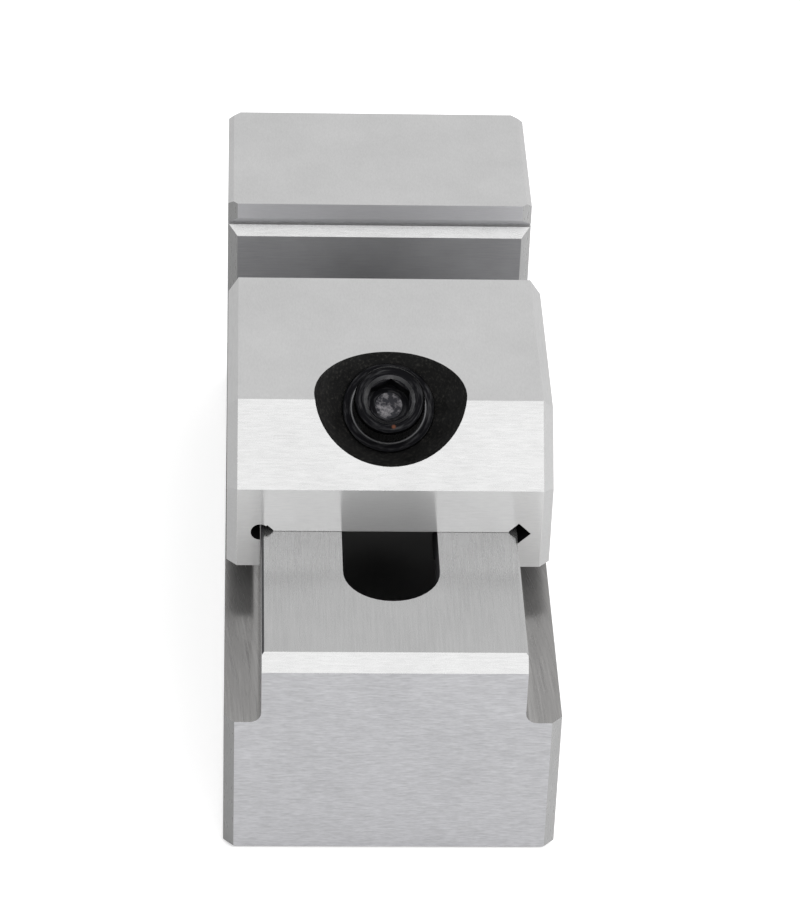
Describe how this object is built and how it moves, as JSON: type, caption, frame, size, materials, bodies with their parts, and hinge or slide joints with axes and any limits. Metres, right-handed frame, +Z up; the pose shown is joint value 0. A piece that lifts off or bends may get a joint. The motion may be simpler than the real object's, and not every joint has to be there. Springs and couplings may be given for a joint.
{
  "type": "toolmaker's vise",
  "caption": "Precision screwless vise in ground steel: a saddle jaw slides on a rail and is drawn to the fixed jaw by a slanted screw whose cross nut hooks under the rail",
  "frame": {"origin": "middle of the base, on the surface the vise stands on", "axes": "+X is the vise's right seen from the front end, +Y runs along the rail towards the fixed jaw, +Z is up"},
  "size_m": [0.073, 0.188, 0.0788],
  "materials": {
    "ground_steel": "fine ground, bright, with light scratches on the ledges",
    "black_steel": "black oxide, satin, slightly oily"
  },
  "bodies": {
    "base": {"vise_body": "ground_steel"},
    "jaw": {"moving_jaw": "ground_steel"},
    "swivel": {"spherical_washer": "black_steel"},
    "screw": {"draw_screw": "black_steel", "retaining_ring": "black_steel"},
    "nut": {"cross_nut": "black_steel"}
  },
  "joints": [
    {"name": "jaw_slide", "type": "slide", "parent": "base", "child": "jaw", "axis": [0, 1, 0], "range_m": [-0.0486, 0.0324]},
    {"name": "screw_swing", "type": "hinge", "parent": "jaw", "child": "swivel", "pos_m": [0, -0.031, 0.0785], "axis": [1, 0, 0], "range_deg": [-1, 1]},
    {"name": "screw_turn", "type": "hinge", "parent": "swivel", "child": "screw", "pos_m": [0, -0.031, 0.0785], "axis": [0, 0.6428, -0.766], "range_deg": [0, 2160]},
    {"name": "nut_travel", "type": "slide", "parent": "swivel", "child": "nut", "axis": [0, -0.6428, 0.766], "range_m": [0, 0.009]}
  ],
  "couplings": [
    {"joint": "nut_travel", "follows": "screw_turn", "m_per_rad": 0.00023873}
  ]
}
